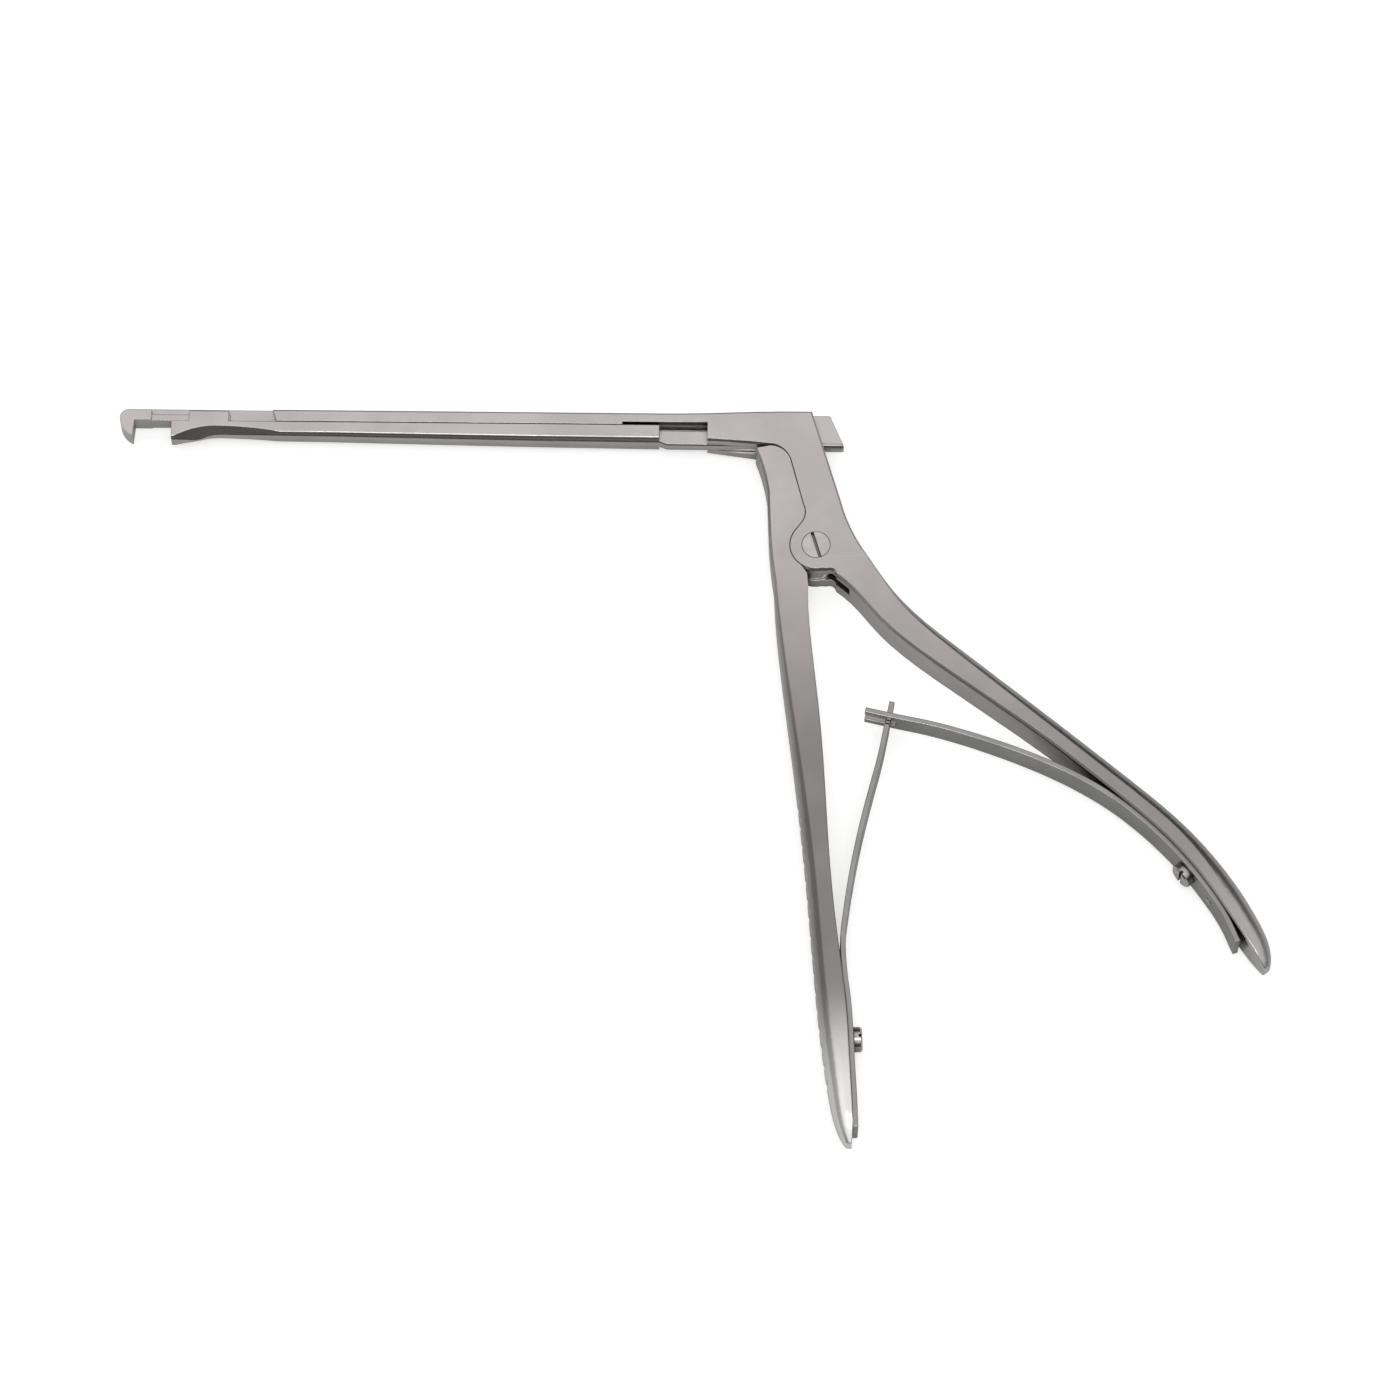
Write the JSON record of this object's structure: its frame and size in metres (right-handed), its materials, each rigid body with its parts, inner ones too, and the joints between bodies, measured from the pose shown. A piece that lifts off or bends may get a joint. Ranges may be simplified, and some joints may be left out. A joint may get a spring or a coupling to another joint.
{
  "type": "antrum punch",
  "caption": "Long-shafted steel biting punch with a sliding lower jaw, two sprung handles and a take-apart slide.",
  "frame": {"origin": "pivot axis at the lower side faces, on which the punch lies", "axes": "+X from the hook towards the tail along the slide, +Y from the handles towards the rail, +Z along the pivot axis, up from the rest plane"},
  "size_m": [0.2318, 0.156, 0.0094],
  "materials": {
    "satin_steel": "satin",
    "bright_steel": "polished",
    "spring_steel": "satin"
  },
  "bodies": {
    "frame_body": {"frame": "satin_steel", "pivot_screw": "bright_steel", "rear_spring": "spring_steel", "rear_spring_screw": "bright_steel", "rear_spring_pin": "bright_steel"},
    "front_handle_body": {"front_handle": "satin_steel", "front_spring": "spring_steel", "front_spring_screw": "bright_steel", "front_spring_pin": "bright_steel"},
    "slider_body": {"slider": "satin_steel"}
  },
  "joints": [
    {"name": "handle_pivot", "type": "hinge", "parent": "frame_body", "child": "front_handle_body", "pos_m": [0, 0, 0.0047], "axis": [0, 0, 1], "range_deg": [0, 16.65], "stiffness_Nm_per_rad": 2, "springref_deg": -2.86, "deforming": ["front_spring", "rear_spring"]},
    {"name": "slider_slide", "type": "slide", "parent": "frame_body", "child": "slider_body", "axis": [-1, 0, 0], "range_m": [0, 0.0074]}
  ],
  "couplings": [
    {"joint": "slider_slide", "follows": "handle_pivot", "m_per_rad": 0.025465}
  ]
}
